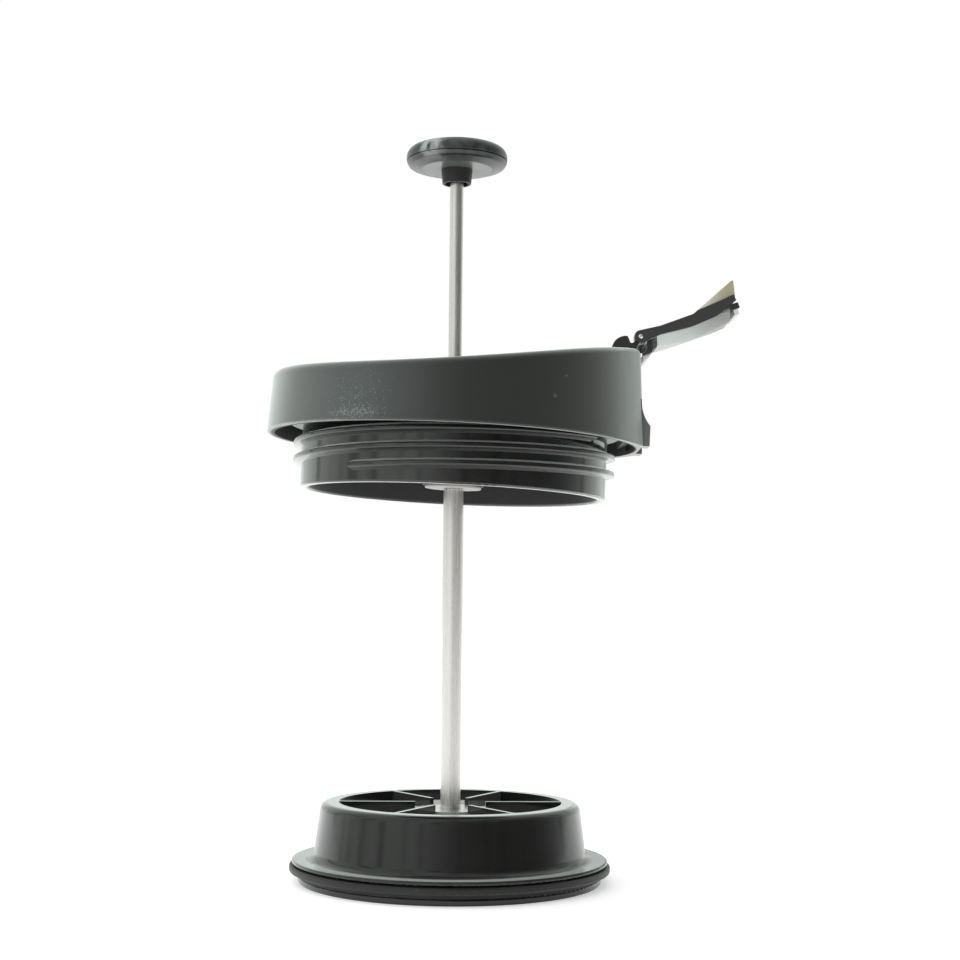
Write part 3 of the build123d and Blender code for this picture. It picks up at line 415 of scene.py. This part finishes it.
# painted light: the flat underside is painted grey where the table below lights it
bottom = knob_finish.ramp(knob_finish.dot(place, UP), knob_low.z + UNDERSIDE_DEPTH, knob_low.z)
lit_underside = bottom * knob_finish.ramp(knob_finish.from_axis(place), *UNDERSIDE_EDGE)
satin = knob_finish.mix(knob_finish.ramp(blotch, *SATIN_STEP), KNOB_BLACK, KNOB_SATIN)
with_painted_light = knob_finish.mix(wear_and_highlight_patch, satin, PATCH_WEAR_AND_HIGHLIGHT_GREY)
knob_finish.set("Base Color", knob_finish.mix(lit_underside, with_painted_light, UNDERSIDE_PAINTED_LIGHT_GREY))
knob_finish.roughness(blotch, smoothest=0.24, spread=0.22)
knob_finish.bump(grip, depth=0.01 * MM)
paint(knob_finish, "knob_base", "knob_cap")

# %% [markdown]
# The rod and sleeve are drawn stainless steel, and the washer, the nuts, the pin and the clip share the
# finish. Drawing leaves faint lines along the rod. They are finer than a mesh could hold, so they are
# noise that is stretched along Z. Metallic is a little under 1, which leaves a trace of plain shading.
# The helper serves every later finish whose colour and roughness follow one noise.

# %% Drawn steel


def mottled(name, size, detail, dark, pale, smoothest, spread, stretch=None, depth=0.0, **constants):
    """A finish whose colour, roughness and, with a depth, bump all follow one noise."""
    finish = Finish(name, **constants)
    place = finish.place()
    if stretch:
        place = finish.stretched(place, stretch)
    mottle = finish.noise(place, size, detail)
    finish.set("Base Color", finish.mix(mottle, dark, pale))
    finish.roughness(mottle, smoothest, spread)
    if depth:
        finish.bump(mottle, depth)
    return finish


steel_finish = mottled("drawn_steel", size=0.35 * MM, detail=3.0, dark=grey(0.58, warm=0.03),
                       pale=grey(0.80, warm=0.03), smoothest=0.20, spread=0.16, stretch=(1.0, 1.0, 0.02),
                       depth=0.004 * MM, Metallic=0.9)
paint(steel_finish, "plunger_rod", "rod_sleeve", "hub_washer", "hub_nut", "retainer_nut", "hinge_pin",
      "bush_clip")

# %% [markdown]
# The seals are silicone: black on the filter and the rod, pale in the lid. The knob's collar is given the
# same dull black. Silicone is satin and holds fine dust, so the black one is paler in spots, where a
# noise passes a soft step. On the pale one dust hardly shows, and a plain mottle is enough.

# %% Silicone
SILICONE_IOR = 1.42
SILICONE_BLACK = grey(0.012)
SILICONE_DUST = grey(0.05)
DUST_STEP = (0.62, 0.80)
black_silicone = Finish("black_silicone", IOR=SILICONE_IOR)
dust = black_silicone.noise(black_silicone.place(), size=0.9 * MM, detail=4.0)
dusty = black_silicone.ramp(dust, *DUST_STEP)
black_silicone.set("Base Color", black_silicone.mix(dusty, SILICONE_BLACK, SILICONE_DUST))
black_silicone.roughness(dust, smoothest=0.34, spread=0.2)
paint(black_silicone, "filter_gasket", "rod_seal", "knob_collar")

pale_silicone = mottled("pale_silicone", size=1.2 * MM, detail=4.0, dark=(0.48, 0.52, 0.50, 1.0),
                        pale=(0.56, 0.60, 0.58, 1.0), smoothest=0.22, spread=0.2, IOR=SILICONE_IOR)
paint(pale_silicone, "lid_gasket", "plug_seal", "spout_grommet")

# %% [markdown]
# The pad under the spout cover is the same pale silicone, but it is painted greyer towards its outer end,
# as painted shade. The shade is measured along the cover, like the painted zones above it, and noise makes
# its edge waver.

# %% Pad with painted shade
PAD_PALE = (0.58, 0.63, 0.60, 1.0)
PAD_SHADE_GREY = (0.24, 0.25, 0.24, 1.0)
PAD_SHADE_ALONG = (8 * MM, 30 * MM)
PAD_SHADE_WAVER = 5 * MM
pad_finish = Finish("pad_painted_shade", IOR=SILICONE_IOR)
place = pad_finish.place()
pad_noise = pad_finish.noise(place, size=4 * MM, detail=3.0)
along = pad_finish.dot(pad_finish.from_point(place, PIN), ALONG_COVER)
# painted shade: the pad is painted greyer towards its outer end
pad_shade = pad_finish.ramp(along + pad_noise * PAD_SHADE_WAVER, *PAD_SHADE_ALONG)
pad_finish.set("Base Color", pad_finish.mix(pad_shade, PAD_PALE, PAD_SHADE_GREY))
pad_finish.roughness(pad_noise, smoothest=0.22, spread=0.2)
paint(pad_finish, "cover_pad")

# %% [markdown]
# The bush is pale grey nylon, a plastic that slides well on steel. The insert inside the knob is turned
# brass, whose tool marks run round it, so its noise is stretched across Z.

# %% Nylon and brass
nylon_finish = mottled("grey_nylon", size=2.0 * MM, detail=3.0, dark=grey(0.44, warm=0.02),
                       pale=grey(0.52, warm=0.02), smoothest=0.42, spread=0.15, IOR=1.53)
paint(nylon_finish, "rod_bush")

brass_finish = mottled("turned_brass", size=0.3 * MM, detail=2.0, dark=(0.62, 0.44, 0.18, 1.0),
                       pale=(0.72, 0.53, 0.24, 1.0), smoothest=0.24, spread=0.16, stretch=(0.05, 0.05, 1.0),
                       Metallic=1.0)
paint(brass_finish, "knob_insert")

# %% [markdown]
# The filter mesh is a plain weave of steel wire: each wire rises over one crossing wire and dips under
# the next. A picture of a weave on a flat disc would be lighter, but its holes would not be open. So the
# wires are real. First their straight runs are laid out, cut at the edge of the disc and round the hole
# in its middle.

# %% Runs of the mesh wires
wire_finish = mottled("mesh_wire", size=6 * MM, detail=3.0, dark=grey(0.74), pale=grey(0.90),
                      smoothest=0.34, spread=0.2, Metallic=0.2)
mesh_low, mesh_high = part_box("filter_mesh")
MESH_R = mesh_high.x - 0.3 * MM
MESH_HOLE_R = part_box("hub_nut")[1].x + 0.3 * MM
MESH_PITCH = 0.9 * MM


def wire_runs():
    """Straight runs (offset, start, end, parity) of one direction of wires, cut round the middle hole."""
    count = int(MESH_R / MESH_PITCH)
    runs = []
    for index in range(-count, count + 1):
        offset = index * MESH_PITCH
        reach = math.sqrt(max(MESH_R**2 - offset**2, 0.0))
        if reach < MESH_PITCH:
            continue
        if abs(offset) < MESH_HOLE_R:
            gap = math.sqrt(MESH_HOLE_R**2 - offset**2)
            runs.append((offset, -reach, -gap, index))
            runs.append((offset, gap, reach, index))
        else:
            runs.append((offset, -reach, reach, index))
    return runs


print("wire runs each way", len(wire_runs()))

# %% [markdown]
# Each run becomes a thin tube along a wave. A curve with a bevel could do that too. Here a tube is worked
# out as arrays of points and faces, which keeps the number of faces low: four sides and two steps for
# each crossing are enough for a wire about 0.2 mm thick.

# %% Tubes of the mesh wires
WIRE_R = 0.095 * MM
WIRE_SIDES = 4
STEPS_PER_CROSSING = 2
MESH_MIDDLE = (mesh_low.z + mesh_high.z) / 2
WEAVE_RISE = (mesh_high.z - mesh_low.z) / 2 - WIRE_R - 0.005 * MM


def wire_tube(offset, start, end, parity, across):
    """Points and faces of a tube along one run. Its height is a cosine wave that alternates by parity."""
    steps = max(int((end - start) / MESH_PITCH * STEPS_PER_CROSSING), 2)
    along = np.linspace(start, end, steps + 1)
    sign = 1.0 if (parity % 2 == 0) == across else -1.0
    height = MESH_MIDDLE + sign * WEAVE_RISE * np.cos(np.pi * along / MESH_PITCH)
    turn = 2 * np.pi * np.arange(WIRE_SIDES) / WIRE_SIDES
    side = offset + WIRE_R * np.cos(turn)[None, :] + 0 * along[:, None]
    lift = height[:, None] + WIRE_R * np.sin(turn)[None, :]
    run = along[:, None] + 0 * turn[None, :]
    points = np.stack([run, side, lift] if across else [side, run, lift], axis=-1).reshape(-1, 3)
    row, column = np.meshgrid(np.arange(steps), np.arange(WIRE_SIDES), indexing="ij")
    following = (column + 1) % WIRE_SIDES
    corners = [row * WIRE_SIDES + column, row * WIRE_SIDES + following,
               (row + 1) * WIRE_SIDES + following, (row + 1) * WIRE_SIDES + column]
    quads = np.stack(corners, axis=-1).reshape(-1, 4)
    last = steps * WIRE_SIDES
    caps = np.array([np.arange(WIRE_SIDES)[::-1], last + np.arange(WIRE_SIDES)])
    faces = np.concatenate([quads, caps])
    return points, (faces[:, ::-1] if across else faces)


print("weave rises", round(WEAVE_RISE / MM, 3), "mm to each side")

# %% [markdown]
# The tubes of both directions are joined into one object, which rides with the plunger and takes the
# place of the plain disc in the CAD model.

# %% Woven filter mesh


def mesh_object(name, points, faces, finish):
    """A mesh object at the origin from arrays of points and faces."""
    mesh = bpy.data.meshes.new(name)
    mesh.from_pydata(points.tolist(), [], faces.tolist())
    mesh.update()
    mesh.materials.append(finish.material)
    piece = bpy.data.objects.new(name, mesh)
    bpy.context.scene.collection.objects.link(piece)
    return piece


weave_points = []
weave_faces = []
point_count = 0
for across in (True, False):
    for run in wire_runs():
        points, faces = wire_tube(*run, across)
        weave_points.append(points)
        weave_faces.append(faces + point_count)
        point_count += len(points)
woven_mesh = mesh_object("woven_filter_mesh", np.concatenate(weave_points), np.concatenate(weave_faces),
                         wire_finish)
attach(woven_mesh, "plunger")
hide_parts("filter_mesh")
print("woven mesh", len(woven_mesh.data.polygons), "faces")

# %% [markdown]
# The photo is taken from below the lid, and its upright lines stay parallel. A camera that is tilted up
# would make them lean, so this one looks level and the picture is shifted up. The eye's height and
# distance follow from how far the filter's and the lid's circles open.

# %% Camera
SENSOR_WIDTH = 36.0
IMAGE_WIDTH = 960
FOCAL_PIXELS = 1660
HORIZON_BELOW_MIDDLE = 133
EYE = Vector((8.3 * MM, -498 * MM, 80.3 * MM))
ROLL = math.radians(0.6)
camera_data = bpy.data.cameras.new("camera")
camera_data.sensor_width = SENSOR_WIDTH
camera_data.lens = SENSOR_WIDTH * FOCAL_PIXELS / IMAGE_WIDTH
camera_data.shift_y = HORIZON_BELOW_MIDDLE / IMAGE_WIDTH
camera_data.clip_start = 0.01
camera_data.clip_end = 50
camera = bpy.data.objects.new("camera", camera_data)
level_turn = Matrix.Rotation(math.radians(90), 4, "X") @ Matrix.Rotation(ROLL, 4, "Z")
camera.matrix_world = Matrix.Translation(EYE) @ level_turn
bpy.context.scene.collection.objects.link(camera)
bpy.context.scene.camera = camera
print("lens", round(camera_data.lens, 2), "mm, shift", round(camera_data.shift_y, 3))

# %% [markdown]
# The table is white paper. It glows a little where the camera or a mirror sees it, so that it melts into
# the white background. A stronger lamp could do that, but it would also light the pieces. For all other
# rays it glows less.

# %% Table
FLOOR_HALF = 6.0
FLOOR_GLOW = grey(0.2)
FLOOR_GLOW_SEEN = grey(0.42)
floor_points = np.array([[-1, -1, 0], [1, -1, 0], [1, 1, 0], [-1, 1, 0]]) * FLOOR_HALF
floor_finish = Finish("white_table", Roughness=0.6, Base_Color=grey(0.8), Emission_Strength=1.0)
floor_seen = floor_finish.ray_is("Camera") + floor_finish.ray_is("Glossy")
floor_finish.set("Emission Color", floor_finish.mix(floor_seen, FLOOR_GLOW, FLOOR_GLOW_SEEN))
floor = mesh_object("table_floor", floor_points, np.array([[0, 1, 2, 3]]), floor_finish)
print("table", 2 * FLOOR_HALF, "m wide")

# %% [markdown]
# Apart from the table's glow, the light comes from the world alone. Lamps could do the same, but a world
# can give each kind of ray a strength of its own. Camera rays see plain white. Mirror rays see white too,
# apart from a dim part of the room to the right of the camera and some darker upright shapes, such as
# furniture. All other rays bring the light, which is stronger from a window on the left than from the
# right.

# %% World
DIM_TURN = math.radians(50)
DIM_WAY = (math.sin(DIM_TURN), -math.cos(DIM_TURN), 0.0)
DIM_STEP = (0.05, 0.95)
DIM_LEVEL = 0.12
SHAPE_SIZE = 0.22
SHAPE_STRETCH = (1.0, 1.0, 0.4)
SHAPE_STEP = (0.50, 0.64)
SHAPE_DEPTH = 0.5
WINDOW_WAY = Vector((-0.9, -0.2, 0.4)).normalized()
WINDOW_STEP = (-0.4, 0.9)
WINDOW_LIGHT = 1.7
SHADE_LIGHT = 0.5
ROOM_TINT = (0.94, 1.0, 0.95, 1.0)
world = bpy.data.worlds.new("studio")
bpy.context.scene.world = world
world.use_nodes = True
world.node_tree.nodes.clear()
room = Graph(world.node_tree)
direction = room.add("ShaderNodeTexCoord", {}, {}, "Generated")
blobs = room.noise(room.stretched(direction, SHAPE_STRETCH), SHAPE_SIZE, detail=1.0)
shapes = room.ramp(blobs, *SHAPE_STEP)
open_side = 1 - room.ramp(room.dot(direction, DIM_WAY), *DIM_STEP) * (1 - DIM_LEVEL)
mirrored = open_side * (1 - SHAPE_DEPTH * shapes)
lit = SHADE_LIGHT + room.ramp(room.dot(direction, WINDOW_WAY), *WINDOW_STEP) * (WINDOW_LIGHT - SHADE_LIGHT)
camera_ray = room.ray_is("Camera")
mirror_ray = room.ray_is("Glossy") + room.ray_is("Transmission")
strength = camera_ray + mirror_ray * mirrored + (1 - camera_ray - mirror_ray) * lit
tint = room.mix(mirror_ray, grey(1.0), ROOM_TINT)
walls = room.add("ShaderNodeBackground", {}, {"Color": tint, "Strength": strength})
room.add("ShaderNodeOutputWorld", {}, {"Surface": walls})
bpy.context.scene.view_settings.view_transform = "Standard"
print("light from", SHADE_LIGHT, "to", WINDOW_LIGHT)
